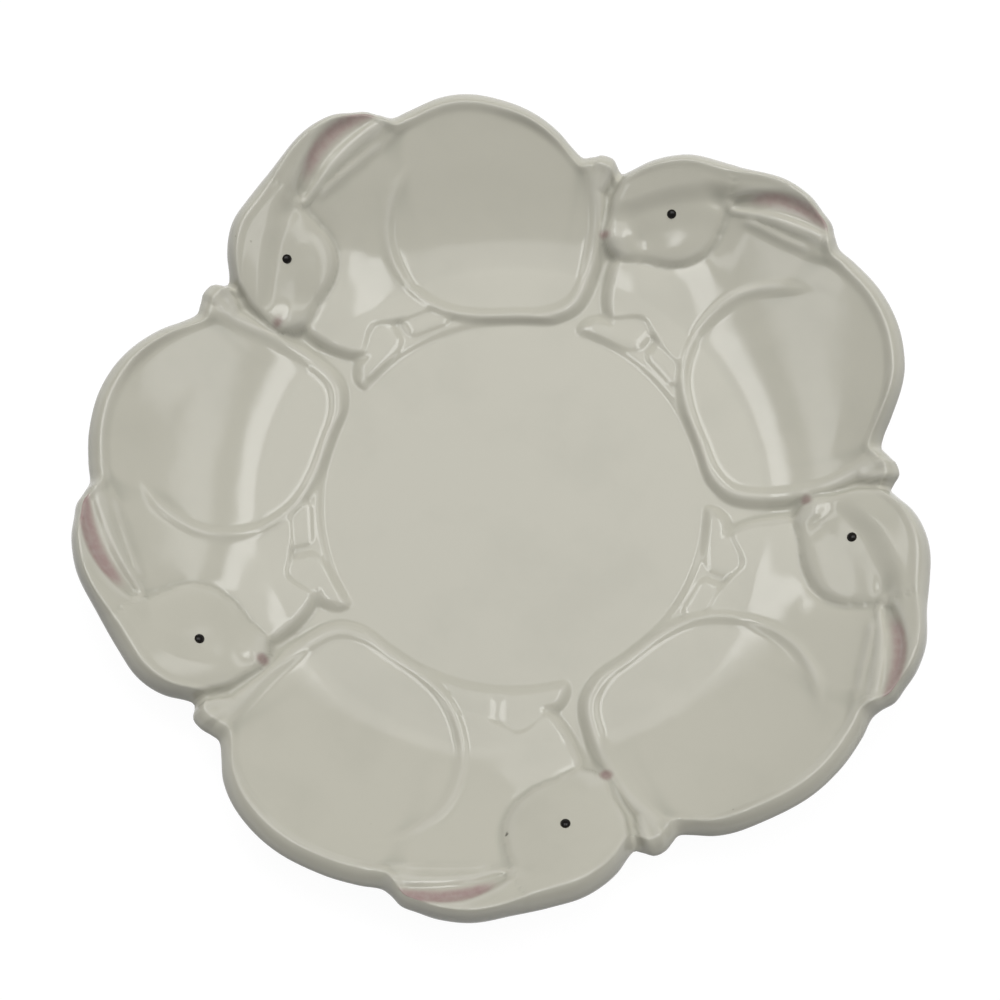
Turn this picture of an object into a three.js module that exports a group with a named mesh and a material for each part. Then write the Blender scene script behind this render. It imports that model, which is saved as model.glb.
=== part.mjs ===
// Serving plate of glazed earthenware: a flat round floor on a foot ring, edged by five
// crouching rabbits in relief that run nose to tail, each with its haunch hollowed to a dish.
// Millimetres, +Z up, standing on Z = 0 with the middle of its outline on the Z axis.
import * as THREE from 'three';

// Driving dimensions of the plate
const rabbitCount = 5;
const firstEyeAngle = 172;
const floorRadius = 62;
const rimRadius = 140;
const floorThickness = 5;
const rimThickness = 8.5;
const footHeight = 3;
const footInset = 7;
const footWidth = 6;
const ringRise = 1.8;
const flareRise = 19.7;
const flarePower = 1.4;
const undersidePower = 1.9;
const rollRadius = 5.2;
const rollShare = 0.6;
const rollPower = 1.4;
const seamGap = 0.3;

// Driving dimensions of the relief on each rabbit
const ringLedge = 0.9;
const ringWallWidth = 3.8;
const valleyDepth = 2;
const edgeWidth = 3.6;
const edgeFullness = 0.62;
const crestRise = 1.1;
const crestWidth = 1.9;
const haunchBorder = 4.2;
const chestLevel = 0.3;
const chestRise = 1.2;
const pawDrop = 1.3;
const pawRise = 0.8;
const backRidge = 1.1;
const tailRise = 1.7;
const tailHollow = 1.1;
const earLedge = 1;
const earRise = 1.7;
const earRounding = 7;
const earHollow = 2.1;
const headLedge = 1.2;
const headRise = 2.2;
const headRounding = 13;

// Driving dimensions of the painted details
const eyeDiameter = 3.2;
const noseDiameter = 3.6;
const dotThickness = 0.5;
const dotBulge = { brink: 0.4, width: 0.7, height: 0.85 };
const liningThickness = 0.4;

// Fineness of the facets
const columns = 32;
const rows = 24;
const rowEasing = 0.4;
const latheSegments = 72;
const dotSegments = 16;
const curveSteps = 24;
const seamPasses = 4;

// The figure is drawn once, x along the rim and y outward through the eye, on a plate whose
// floor and rim have these radii and where each rabbit takes this angle. It is then spread to
// the real floor, rim and count.
const drawnFloor = 62;
const drawnFlare = 84;
const drawnRim = 140;
const drawnStep = 72;
const eye = { x: 0, y: 113 };
const cheek = { x: -1, y: 112.8, width: 20.3, height: 16.3, forehead: 32 };
const muzzle = { x: -10, y: 100, radius: 6.6 };
const dish = { x: 62.5, y: 78.5 };
const crest = { inside: 0.4, beyond: 3, beyondShare: 0.5, highest: 20, lowWidth: 60, lowShare: 0.6 };
const flank = { start: -24, full: -8, fade: 40, end: 80 };
const thigh = { start: -150, full: -128, fade: -10, end: 6, inside: 0.9, outside: 2.4 };
const chest = { x: 5, y: 87, width: 14, height: 9 };
const shoulder = { x: 25, y: 95, radius: 36 };
const back = { points: [new THREE.Vector2(32, 106), new THREE.Vector2(69, 96)], radius: 43 };
const ridge = { width: 1.4, full: 0.1, fade: 0.5, end: 0.9 };
const paws = { arc: 66, from: -1.5, to: 30, radius: 8, heel: 64, axis: 70 };
const underChestEdge = { front: -8, full: -5, lip: 0.4, foot: 1.2 };
const frontPaw = { points: [new THREE.Vector2(-3.5, 68.5), new THREE.Vector2(9.5, 70.8)], radius: 5.2 };
const hindPaw = { points: [new THREE.Vector2(19, 68.5), new THREE.Vector2(28, 65)], radius: 4 };
const tail = { angle: 59.4, tip: 113.5, base: 114, width: 2.2, spread: 0.28, groove: 2.4 };
const ear = { front: -8.6, end: 28, slope: 0.88, root: 120.3, rise: 0.28, sweep: 0.0078 };
const leaf = { end: 1.2, swell: 3.4, fullness: 0.8, start: 0.1, length: 0.88, rim: 0.1, floor: 0.7 };
const face = { foot: -17, spread: 16, full: -8, fade: -2.5, brow: 4.5, start: 0.15, last: 0.7 };
const earRoot = { share: 0.6, width: 3, start: 0.5, full: 0.75 };
const lip = { head: 0.3, haunch: 0.8, width: 3, start: 20, full: 28, fade: 49, end: 54 };
const brow = polyline([
  { x: -17, y: 104 }, { x: -8, y: 112.3 }, { x: 0, y: 118.6 }, { x: 9, y: 123.6 }, { x: 17, y: 126.2 },
  { x: 26, y: 128 },
]);
const hollow = polyline([
  { x: 21, y: 126.2 }, { x: 28, y: 128.6 }, { x: 35, y: 130 }, { x: 42, y: 130 }, { x: 49, y: 128.8 },
  { x: 56, y: 126.6 },
]);
const ridgeLine = polyline([
  { x: 23.7, y: 122 }, { x: 32.6, y: 121.7 }, { x: 41.7, y: 121 }, { x: 53.5, y: 120.1 },
  { x: 63, y: 118.6 }, { x: 74, y: 113.9 },
]);

// The crest round the dish: angle clockwise round the dish's middle, and drawn distance from it
const crestStations = [
  { angle: -170, radius: 39.6 }, { angle: -154, radius: 35.4 }, { angle: -136, radius: 34.2 },
  { angle: -111, radius: 35 }, { angle: -82, radius: 35.5 }, { angle: -55, radius: 35.3 },
  { angle: -38, radius: 34 }, { angle: -17, radius: 32.4 }, { angle: 7, radius: 32 },
  { angle: 36, radius: 34 }, { angle: 64, radius: 35.6 }, { angle: 83, radius: 37.6 },
  { angle: 109, radius: 39.8 }, { angle: 134, radius: 39 }, { angle: 148, radius: 38.8 },
  { angle: 163, radius: 39.8 }, { angle: 178, radius: 41.6 },
];

// The lower edge of the chest above the paws: angle clockwise from the eye, and drawn radius there
const chestFoot = [
  { angle: -5.2, radius: 77.8 }, { angle: -2.6, radius: 76.1 }, { angle: 0, radius: 74.6 },
  { angle: 4.3, radius: 78.2 }, { angle: 7.2, radius: 79.5 }, { angle: 11.3, radius: 76.8 },
  { angle: 16.2, radius: 75.2 }, { angle: 21.5, radius: 75 }, { angle: 40, radius: 74 },
];

// How widely the parts of the figure are rounded into each other
const blend = { body: 2, snout: 7, figure: 0.8 };

// The outline of one rabbit: angle clockwise from its eye, and drawn radius there
const outlineStations = [
  { angle: -9.8, radius: 124.3 }, { angle: -8.6, radius: 125.8 }, { angle: -6.5, radius: 129.9 },
  { angle: -4, radius: 133.3 }, { angle: -1, radius: 136 }, { angle: 3, radius: 137.8 },
  { angle: 8, radius: 140.3 }, { angle: 13, radius: 143.9 }, { angle: 17, radius: 144.6 },
  { angle: 20, radius: 143.5 }, { angle: 22, radius: 142.6 }, { angle: 23.6, radius: 140.2 },
  { angle: 25.2, radius: 138.9 }, { angle: 28, radius: 140 }, { angle: 33, radius: 141.6 },
  { angle: 38, radius: 141.4 }, { angle: 43, radius: 139.1 }, { angle: 47.5, radius: 135.7 },
  { angle: 51, radius: 131.6 }, { angle: 53.6, radius: 127.3 }, { angle: 55.4, radius: 125.1 },
  { angle: 56.8, radius: 126.1 }, { angle: 58.2, radius: 127.5 }, { angle: 60, radius: 127.6 },
  { angle: 61.2, radius: 125.6 },
];

// The seam in front of each rabbit runs down the valley there
const seamStations = [
  { angle: -12.4, radius: 60 }, { angle: -10.8, radius: 66 }, { angle: -8.2, radius: 76 },
  { angle: -8.8, radius: 88 }, { angle: -10.9, radius: 97.5 }, { angle: -11.4, radius: 106 },
  { angle: -11, radius: 112 }, { angle: -9.8, radius: 119.5 }, { angle: -9.8, radius: 150 },
];

// Each rabbit strays a little from the drawing, as hand modelling does: its rim is lifted outward
// at nine angles and its head shifted outward, in millimetres. Its head, ear and tail swing along
// the rim, in degrees. The brow's depth and the place of the nose differ too.
const liftAngles = [-7, 1, 9, 17, 26, 35, 44, 51, 58];
const swingAngles = { head: 0, ear: 22, haunch: 44, tail: 60.5 };
const liftReach = { start: 0.83, full: 0.97 };
const headReach = { angle: 9, radius: 27 };
const hands = [
  {
    lifts: [-1, 0.5, 2, 3.5, 2.5, 3.5, 2.5, 1, -0.5],
    headShift: 1, headSwing: 1.1, earSwing: 1.6, tailSwing: 0, browDepth: 1.2,
    nose: { x: -15, y: 100.3 },
  },
  {
    lifts: [-1.5, 0, 0, 0, 1, 0.5, -0.5, -3, 0],
    headShift: 1.3, headSwing: 0.7, earSwing: -0.4, tailSwing: -0.5, browDepth: 1.6,
    nose: { x: -16.4, y: 98.6 },
  },
  {
    lifts: [1.5, 1, -1, -2, -1.5, -3, -3.5, -1.5, 0],
    headShift: -0.7, headSwing: -1.7, earSwing: -1, tailSwing: -0.2, browDepth: 1.4,
    nose: { x: -15.6, y: 96.4 },
  },
  {
    lifts: [-0.5, -1, -1.5, -2.5, -2, -2, 0.5, 1.5, 0],
    headShift: -1.7, headSwing: -0.5, earSwing: 0.2, tailSwing: 1.2, browDepth: 0.4,
    nose: { x: -16.4, y: 96.7 },
  },
  {
    lifts: [1, 0.5, 0.5, 0, 0.5, 0.5, 2, 1, 0],
    headShift: 0.2, headSwing: -0.5, earSwing: 1.6, tailSwing: 1.6, browDepth: 0.4,
    nose: { x: -14.4, y: 97.6 },
  },
];

const { clamp, degToRad, lerp, radToDeg, smoothstep } = THREE.MathUtils;
const fall = (x, from, to) => 1 - smoothstep(x, from, to);
const bump = (distance, width) => Math.exp(-((distance / width) ** 2));
const swell = (distance, reach) => (1 - clamp(Math.abs(distance) / reach, 0, 1) ** 2) ** 2;
const distanceTo = (place, x, y) => Math.hypot(x - place.x, y - place.y);

// The lower and the upper of two distances or heights, rounded into each other over a width
function smoothMin(a, b, width) {
  const share = clamp(0.5 + (0.5 * (b - a)) / width, 0, 1);
  return b + (a - b) * share - width * share * (1 - share);
}
const smoothMax = (a, b, width) => -smoothMin(-a, -b, width);

// A smooth curve through points, as short straight steps
function polyline(points) {
  const curve = new THREE.SplineCurve(points.map(({ x, y }) => new THREE.Vector2(x, y)));
  return curve.getSpacedPoints(curveSteps);
}

// Distance from a point to a polyline, how far along it the nearest place lies, 0 to 1, and on which
// side of it the point is: 1 on its left
function nearest(points, x, y) {
  let gap = Infinity;
  let along = 0;
  let side = 1;
  for (let i = 0; i + 1 < points.length; i += 1) {
    const a = points[i];
    const run = points[i + 1].clone().sub(a);
    const share = clamp(((x - a.x) * run.x + (y - a.y) * run.y) / run.lengthSq(), 0, 1);
    const distance = Math.hypot(x - a.x - share * run.x, y - a.y - share * run.y);
    if (distance < gap) {
      gap = distance;
      along = (i + share) / (points.length - 1);
      side = run.x * (y - a.y) > run.y * (x - a.x) ? 1 : -1;
    }
  }
  return { gap, along, side };
}

// A smooth curve through stations, from one of their values to another, and the same all round
function throughStations(stations, from, to) {
  const curve = new THREE.CubicInterpolant(stations.map((at) => at[from]), stations.map((at) => at[to]), 1);
  return (value) => curve.evaluate(value)[0];
}
function allRound(stations, to, period) {
  const turned = (turn) => stations.map((at) => ({ ...at, angle: at.angle + turn * period }));
  return throughStations([-1, 0, 1].flatMap(turned), 'angle', to);
}

const outlineRadius = allRound(outlineStations, 'radius', drawnStep);
const crestRadius = allRound(crestStations, 'radius', 360);
const seamAngle = throughStations(seamStations, 'radius', 'angle');
const chestFootRadius = throughStations(chestFoot, 'angle', 'radius');
const handOf = (index) => hands[index % hands.length];
const liftStations = [];
const swingStations = [];
for (let index = 0; index < rabbitCount; index += 1) {
  const hand = handOf(index);
  const turned = (angle) => angle + index * drawnStep;
  liftAngles.forEach((angle, place) => {
    liftStations.push({ angle: turned(angle), lift: hand.lifts[place] });
  });
  swingStations.push({ angle: turned(swingAngles.head), swing: 0 });
  swingStations.push({ angle: turned(swingAngles.ear), swing: hand.earSwing });
  swingStations.push({ angle: turned(swingAngles.haunch), swing: 0 });
  swingStations.push({ angle: turned(swingAngles.tail), swing: hand.tailSwing });
}
const rimLift = allRound(liftStations, 'lift', rabbitCount * drawnStep);
const rimSwing = allRound(swingStations, 'swing', rabbitCount * drawnStep);

// The plate's wall flares from the ring up to the rim, and the underside follows it
const floorTop = footHeight + floorThickness;
const undersideRise = floorThickness + ringRise + flareRise - rimThickness;
const shareFrom = (start, radius) => Math.max(0, (radius - start) / (drawnRim - start));
const flare = (radius) => flareRise * shareFrom(drawnFlare, radius) ** flarePower;
const wallHeight = (radius) => floorTop + ringRise + flare(radius);
const underside = (radius) => footHeight + undersideRise * shareFrom(drawnFloor, radius) ** undersidePower;

// A rounded shoulder: 0 at the edge of a shape and 1 from the edge's width inside it
function shoulderShare(distance) {
  const share = smoothstep(-distance, 0, edgeWidth);
  return share ** edgeFullness;
}

// A dome over a shape: 0 at its edge and 1 from the rounding's width inside it
const domeShare = (distance, rounding) => 1 - (1 - clamp(-distance / rounding, 0, 1)) ** 2;

// A shape laid over the relief that is there, rounded into it
function laidOver(relief, shape, distance) {
  return relief + (smoothMax(relief, shape, blend.figure) - relief) * shoulderShare(distance);
}

// A place on the drawing, given by its angle clockwise from the eye and its radius
function atAngle(angle, radius) {
  return { x: radius * Math.sin(degToRad(angle)), y: radius * Math.cos(degToRad(angle)) };
}

// The lower edge of the ear, from under the cheek out to the ear's tip
const earEdge = (angle) => ear.root + ear.rise * angle + ear.sweep * angle * angle;

// One rabbit's relief at a place on the drawing, above the ground that shows between rabbits
function rabbitRelief(x, y, rise, browDepth) {
  const radius = Math.hypot(x, y);
  const angle = radToDeg(Math.atan2(x, y));

  // Silhouette of the body: haunch, shoulder, back and paws joined
  const pawEdge = distanceTo(atAngle(clamp(angle, paws.from, paws.to), paws.arc), x, y) - paws.radius;
  const chestEdge = Math.max(distanceTo(shoulder, x, y) - shoulder.radius, paws.heel - radius);
  const backEdge = Math.max(nearest(back.points, x, y).gap - back.radius, paws.heel - radius);
  const dishTurn = radToDeg(Math.atan2(x - dish.x, y - dish.y));
  const dishEdge = distanceTo(dish, x, y) - crestRadius(dishTurn);
  const haunchEdge = dishEdge - haunchBorder;
  const bodyEdge = [chestEdge, backEdge, pawEdge].reduce((a, b) => smoothMin(a, b, blend.body), haunchEdge);

  // Haunch: a shallow dish inside a crest that is open under the back, and drops to the chest
  const openFlank = smoothstep(dishTurn, flank.start, flank.full) * fall(dishTurn, flank.fade, flank.end);
  const fromRing = 180 - Math.abs(dishTurn - crest.highest);
  const lowCrest = 1 - crest.lowShare * bump(fromRing, crest.lowWidth);
  const crestTop = crestRise * lowCrest * (1 - openFlank);
  const beyondCrest = crestTop * (1 - crest.beyondShare * smoothstep(dishEdge, 0, crest.beyond));
  const chestSwell = bump(x - chest.x, chest.width) * bump(y - chest.y, chest.height);
  const chestTop = chestLevel + chestRise * chestSwell;
  const alongThigh = fall(dishTurn, thigh.fade, thigh.end) * smoothstep(dishTurn, thigh.start, thigh.full);
  const inFrontOfThigh = alongThigh * smoothstep(dishEdge, -thigh.inside, thigh.outside);
  const insideCrest = crestTop * bump(dishEdge + crest.inside, crestWidth);
  const outsideCrest = lerp(beyondCrest, chestTop, inFrontOfThigh);
  const haunchTop = dishEdge < -crest.inside ? insideCrest : outsideCrest;

  // Two paws tucked under the chest, and the ridge of the back under the ear
  const belowChest = chestFootRadius(clamp(angle, chestFoot[0].angle, drawnStep / 2)) - radius;
  const behindToes = smoothstep(angle, underChestEdge.front, underChestEdge.full);
  const underChest = smoothstep(belowChest, -underChestEdge.lip, underChestEdge.foot) * behindToes;
  const onPaw = atAngle(angle, Math.min(radius, paws.axis));
  const pawTops = [frontPaw, hindPaw].map(({ points, radius: reach }) => {
    return domeShare(nearest(points, onPaw.x, onPaw.y).gap - reach, reach);
  });
  const pawTop = pawRise * Math.max(...pawTops) - pawDrop;
  const onRidge = nearest(ridgeLine, x, y);
  const alongRidge = smoothstep(onRidge.along, 0, ridge.full) * fall(onRidge.along, ridge.fade, ridge.end);
  const backTop = backRidge * bump(onRidge.gap, ridge.width) * alongRidge;
  const top = rise + haunchTop + pawTop * underChest * inFrontOfThigh + backTop;
  const body = top * shoulderShare(bodyEdge);

  // Tail, ear and head over it: a wedge, a band out to the ear's tip, and a low dome with a muzzle
  const besideTail = degToRad(angle - tail.angle) * radius;
  const tailSide = Math.abs(besideTail) - tail.width - tail.spread * (radius - tail.base);
  const tailEdge = smoothMax(tailSide, tail.tip - radius, blend.body);
  const inFront = degToRad(ear.front - angle) * radius;
  const pastTip = degToRad(angle - ear.end) * radius;
  const earSides = smoothMax(ear.slope * (earEdge(angle) - radius), inFront, blend.body);
  const earDistance = smoothMax(earSides, pastTip, blend.body);
  const cheekReach = y > cheek.y ? cheek.forehead : cheek.height;
  const dome = (Math.hypot((x - cheek.x) / cheek.width, (y - cheek.y) / cheekReach) - 1) * cheek.height;
  const headEdge = smoothMin(dome, distanceTo(muzzle, x, y) - muzzle.radius, blend.snout);
  const tailTop = rise + tailRise - tailHollow * bump(besideTail, tail.groove);
  const earTop = rise + earLedge + earRise * domeShare(earDistance, earRounding);
  const headTop = rise + headLedge + headRise * domeShare(headEdge, headRounding);
  const withEar = laidOver(laidOver(body, tailTop, tailEdge), earTop, earDistance);
  const withHead = laidOver(withEar, headTop, headEdge);

  // Brow and ear hollow: a soft step over the eye that opens into a leaf-shaped hollow
  const inEar = nearest(hollow, x, y);
  const leafTurn = Math.PI * (leaf.start + leaf.length * inEar.along);
  const leafWidth = leaf.end + leaf.swell * Math.sin(leafTurn) ** leaf.fullness;
  const inLeaf = smoothstep(1 - inEar.gap / leafWidth, -leaf.rim, leaf.floor);
  const atBrow = nearest(brow, x, y);
  const aboveBrow = atBrow.gap * atBrow.side;
  const sunk = smoothstep(aboveBrow, face.foot - face.spread * atBrow.along, face.full);
  const alongBrow = smoothstep(atBrow.along, 0, face.start) * fall(atBrow.along, face.last, 1);
  const faceDepth = sunk * fall(aboveBrow, face.fade, face.brow) * alongBrow;
  const inRoot = earRoot.share * bump(atBrow.gap, earRoot.width);
  const rootDepth = inRoot * smoothstep(atBrow.along, earRoot.start, earRoot.full);
  return withHead - browDepth * (faceDepth + rootDepth) - earHollow * inLeaf;
}

// Height of the plate's upper surface at a drawn radius and an angle clockwise from a rabbit's eye.
// The ring's inner wall rises from the floor. The rim has a low lip, and its outer edge is rolled.
function topHeight(index, radius, angle) {
  const wall = wallHeight(radius);
  const ground = Math.max(floorTop, wall - valleyDepth);
  let height = ground;
  for (const turn of [-drawnStep, 0, drawnStep]) {
    const { x, y } = atAngle(angle + turn, radius);
    height += rabbitRelief(x, y, wall - ground, handOf(index).browDepth);
  }
  const toBrink = outlineRadius(angle) - rollRadius - radius;
  const onHaunch = smoothstep(angle, lip.start, lip.full) * fall(angle, lip.fade, lip.end);
  height += lerp(lip.head, lip.haunch, onHaunch) * fall(toBrink, 0, lip.width);
  const ringFoot = drawnFloor + ringLedge;
  height = floorTop + (height - floorTop) * smoothstep(radius, ringFoot, ringFoot + ringWallWidth);
  const roll = Math.min(rollRadius, (height - underside(radius)) * rollShare);
  const pastBrink = clamp(1 - (outlineRadius(angle) - radius) / roll, 0, 1);
  return height - roll * (1 - (1 - pastBrink ** rollPower) ** (1 / rollPower));
}

// From the drawing to the plate: spread to the real radii and count, then moved as the hand strayed
function onPlate(index, radius, angle) {
  const hand = handOf(index);
  const spread = (rimRadius - floorRadius) / (drawnRim - drawnFloor);
  const around = angle + index * drawnStep;
  const atRim = smoothstep(radius / outlineRadius(angle), liftReach.start, liftReach.full);
  const atHead = swell(angle, headReach.angle) * swell(radius - eye.y, headReach.radius);
  const swing = hand.headSwing * atHead + rimSwing(around) * atRim;
  const lift = hand.headShift * atHead + rimLift(around) * atRim;
  const plateRadius = floorRadius + (radius - drawnFloor) * spread + lift;
  const plateAngle = degToRad(firstEyeAngle - (360 * (around + swing)) / (rabbitCount * drawnStep));
  return new THREE.Vector2(plateRadius * Math.cos(plateAngle), plateRadius * Math.sin(plateAngle));
}

// A closed slab on a grid: upper and lower faces share their columns and rows, and walls join
// their edges. place(column, row, isTop) gives each corner.
function slabGeometry(columnCount, rowCount, place) {
  const corners = [];
  const triangles = [];
  const layer = (columnCount + 1) * (rowCount + 1);
  const corner = (column, row) => row * (columnCount + 1) + column;
  for (const isTop of [true, false]) {
    for (let row = 0; row <= rowCount; row += 1) {
      for (let column = 0; column <= columnCount; column += 1) corners.push(place(column, row, isTop));
    }
  }
  for (let row = 0; row < rowCount; row += 1) {
    for (let column = 0; column < columnCount; column += 1) {
      const [a, b] = [corner(column, row), corner(column + 1, row)];
      const [c, d] = [corner(column + 1, row + 1), corner(column, row + 1)];
      triangles.push(a, b, c, a, c, d);
      triangles.push(a + layer, c + layer, b + layer, a + layer, d + layer, c + layer);
    }
  }
  const border = [];
  for (let column = 0; column < columnCount; column += 1) border.push(corner(column, 0));
  for (let row = 0; row < rowCount; row += 1) border.push(corner(columnCount, row));
  for (let column = columnCount; column > 0; column -= 1) border.push(corner(column, rowCount));
  for (let row = rowCount; row > 0; row -= 1) border.push(corner(0, row));
  border.forEach((from, i) => {
    const to = border[(i + 1) % border.length];
    triangles.push(from, from + layer, to + layer, from, to + layer, to);
  });
  const geometry = new THREE.BufferGeometry().setFromPoints(corners);
  geometry.setIndex(triangles);
  geometry.computeVertexNormals();
  return geometry;
}

// Where a column and row of one rabbit's grid lie on the drawing. The seam's angle and the
// outline's radius depend on each other, so they are found in a few passes. Rows draw closer
// together at the ring and at the rim, where the relief turns fastest.
function gridPlace(column, row) {
  const share = row / rows;
  const eased = lerp(share, (1 - Math.cos(Math.PI * share)) / 2, rowEasing);
  const inner = drawnFloor + seamGap / 2;
  let radius = inner;
  let angle = 0;
  for (let pass = 0; pass < seamPasses; pass += 1) {
    const clearance = radToDeg(seamGap / 2 / radius);
    angle = seamAngle(radius) + clearance + (drawnStep - 2 * clearance) * (column / columns);
    radius = inner + (outlineRadius(angle) - inner) * eased;
  }
  return { radius, angle };
}

// One rabbit's share of the rim, from the ring seam out to its outline
function rabbitGeometry(index) {
  return slabGeometry(columns, rows, (column, row, isTop) => {
    const { radius, angle } = gridPlace(column, row);
    const flat = onPlate(index, radius, angle);
    return new THREE.Vector3(flat.x, flat.y, isTop ? topHeight(index, radius, angle) : underside(radius));
  });
}

// The pink lining of one ear: a thin skin just over the cells of the ear's hollow
const liningCells = { column: 9, columnCount: 5, row: rows - 5, rowCount: 3 };
function liningGeometry(index) {
  return slabGeometry(liningCells.columnCount, liningCells.rowCount, (column, row, isTop) => {
    const { radius, angle } = gridPlace(liningCells.column + column, liningCells.row + row);
    const flat = onPlate(index, radius, angle);
    const lift = isTop ? seamGap + liningThickness : seamGap;
    return new THREE.Vector3(flat.x, flat.y, topHeight(index, radius, angle) + lift);
  });
}

// A painted dot that stands proud of the glaze like a shallow lens
function dotGeometry(diameter) {
  const radius = diameter / 2;
  const brink = [radius, dotBulge.brink * dotThickness];
  const curve = [dotBulge.width * radius, dotBulge.height * dotThickness];
  const profile = [[0, 0], [radius, 0], brink, curve, [0, dotThickness]];
  return new THREE.LatheGeometry(profile.map(([x, y]) => new THREE.Vector2(x, y)), dotSegments);
}

// Colours and finishes
const glaze = () => new THREE.MeshStandardMaterial({ color: 0xdcd9cc, roughness: 0.12, metalness: 0 });
const biscuit = () => new THREE.MeshStandardMaterial({ color: 0xcfc8b6, roughness: 0.85, metalness: 0 });
const black = () => new THREE.MeshStandardMaterial({ color: 0x141312, roughness: 0.15, metalness: 0 });
const pink = () => new THREE.MeshStandardMaterial({ color: 0xb99a94, roughness: 0.2, metalness: 0 });

const plate = new THREE.Group();
function addMesh(name, geometry, material) {
  const mesh = new THREE.Mesh(geometry, material);
  mesh.name = name;
  plate.add(mesh);
  return mesh;
}

// Turned pieces, from pairs of radius and height that run upward on the outside
function addTurned(name, profile, material) {
  const points = profile.map(([radius, height]) => new THREE.Vector2(radius, height));
  const mesh = addMesh(name, new THREE.LatheGeometry(points, latheSegments), material);
  mesh.rotation.x = Math.PI / 2;
}

const floorEdge = floorRadius - seamGap / 2;
const floorProfile = [[0, footHeight], [floorEdge, footHeight], [floorEdge, floorTop], [0, floorTop]];
addTurned('centre_floor', floorProfile, glaze());

const footOuter = floorRadius - footInset + footWidth / 2;
const footInner = footOuter - footWidth;
const footTop = footHeight - seamGap;
const footCorners = [[footInner, 0], [footOuter, 0], [footOuter, footTop], [footInner, footTop]];
addTurned('foot_ring', [...footCorners, footCorners[0]], biscuit());

// A dot seated on the glaze at a place on the drawing: square to the facets under it, and clear of
// the highest of them
function addDot(name, rabbit, index, place, diameter, material) {
  const flat = onPlate(index, Math.hypot(place.x, place.y), radToDeg(Math.atan2(place.x, place.y)));
  const down = new THREE.Vector3(0, 0, -1);
  const hits = [];
  for (let spoke = 0; spoke <= dotSegments; spoke += 1) {
    const reach = spoke > 0 ? diameter / 2 : 0;
    const turn = (2 * Math.PI * spoke) / dotSegments;
    const above = new THREE.Vector3(reach * Math.cos(turn), reach * Math.sin(turn), floorTop + rimRadius);
    above.add(new THREE.Vector3(flat.x, flat.y, 0));
    hits.push(...new THREE.Raycaster(above, down).intersectObject(rabbit).slice(0, 1));
  }
  const normal = new THREE.Vector3();
  hits.forEach(({ face }) => normal.add(face.normal));
  normal.normalize();
  const centre = hits[0].point;
  const highest = Math.max(...hits.map(({ point }) => point.clone().sub(centre).dot(normal)));
  const dot = addMesh(name, dotGeometry(diameter), material);
  dot.quaternion.setFromUnitVectors(new THREE.Vector3(0, 1, 0), normal);
  dot.position.copy(centre).addScaledVector(normal, highest + seamGap);
}

for (let index = 0; index < rabbitCount; index += 1) {
  const name = `rabbit_${index + 1}`;
  const rabbit = addMesh(name, rabbitGeometry(index), glaze());
  addMesh(`${name}_ear_lining`, liningGeometry(index), pink());
  addDot(`${name}_eye`, rabbit, index, eye, eyeDiameter, black());
  addDot(`${name}_nose`, rabbit, index, handOf(index).nose, noseDiameter, pink());
}

// The hand-modelled outline is uneven, so the foot ring's axis ends up a little off its middle
const middle = new THREE.Box3().setFromObject(plate).getCenter(new THREE.Vector3());
plate.children.forEach((mesh) => mesh.position.sub(middle.clone().setZ(0)));

export default plate;
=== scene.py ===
import math

import bmesh
import bpy
import numpy as np
from mathutils import Matrix, Vector
from mathutils.bvhtree import BVHTree


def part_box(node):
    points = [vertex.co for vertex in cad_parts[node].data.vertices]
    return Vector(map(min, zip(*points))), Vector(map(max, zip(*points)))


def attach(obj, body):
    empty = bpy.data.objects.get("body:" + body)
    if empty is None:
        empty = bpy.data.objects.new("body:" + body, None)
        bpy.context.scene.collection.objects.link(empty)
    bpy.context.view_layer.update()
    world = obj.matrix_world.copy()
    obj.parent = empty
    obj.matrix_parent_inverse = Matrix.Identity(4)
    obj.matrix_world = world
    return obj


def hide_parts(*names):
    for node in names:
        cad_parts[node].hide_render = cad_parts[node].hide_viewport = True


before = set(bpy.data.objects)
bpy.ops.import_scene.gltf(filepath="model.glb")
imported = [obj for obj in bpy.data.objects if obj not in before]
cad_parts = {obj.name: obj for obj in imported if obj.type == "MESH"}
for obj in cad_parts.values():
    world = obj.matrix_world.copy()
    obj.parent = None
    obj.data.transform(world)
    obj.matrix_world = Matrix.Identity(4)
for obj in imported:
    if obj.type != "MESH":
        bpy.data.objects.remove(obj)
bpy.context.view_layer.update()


# Glazed body: one slip-cast earthenware casting, a flat centre inside a flaring rim that is
# modelled as five crouching rabbits, nose to tail. One rabbit is drawn in millimetres, x along
# the rim and y outward through its eye, and laid five times round the plate.
MM = 0.001
RABBITS = 5
STEP = 360 / RABBITS
FIRST_EYE = 172
FLOOR_RADIUS = 62
RIM_RADIUS = 140
FLOOR_TOP = 8
FLOOR_UNDER = 3
RING_RISE = 1.8
FLARE_START = 84
FLARE_RISE = 19.7
FLARE_POWER = 1.4
VALLEY_DEPTH = 2
UNDERSIDE_RISE = 18
UNDERSIDE_POWER = 1.9

# The rabbit's outline, as angle clockwise from its eye and radius from the plate's middle
OUTLINE = [
    (-9.8, 124.3), (-8.6, 125.8), (-6.5, 129.9), (-4, 133.3), (-1, 136), (3, 137.8), (8, 140.3),
    (13, 143.9), (17, 144.6), (20, 143.5), (22, 142.6), (23.6, 140.2), (25.2, 138.9), (28, 140),
    (33, 141.6), (38, 141.4), (43, 139.1), (47.5, 135.7), (51, 131.6), (53.6, 127.3), (55.4, 125.1),
    (56.8, 126.1), (58.2, 127.5), (60, 127.6), (61.2, 125.6),
]

# The plate's axis stands a little off the middle of its uneven outline
plate_axis = (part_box("foot_ring")[0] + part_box("foot_ring")[1]) / 2

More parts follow.
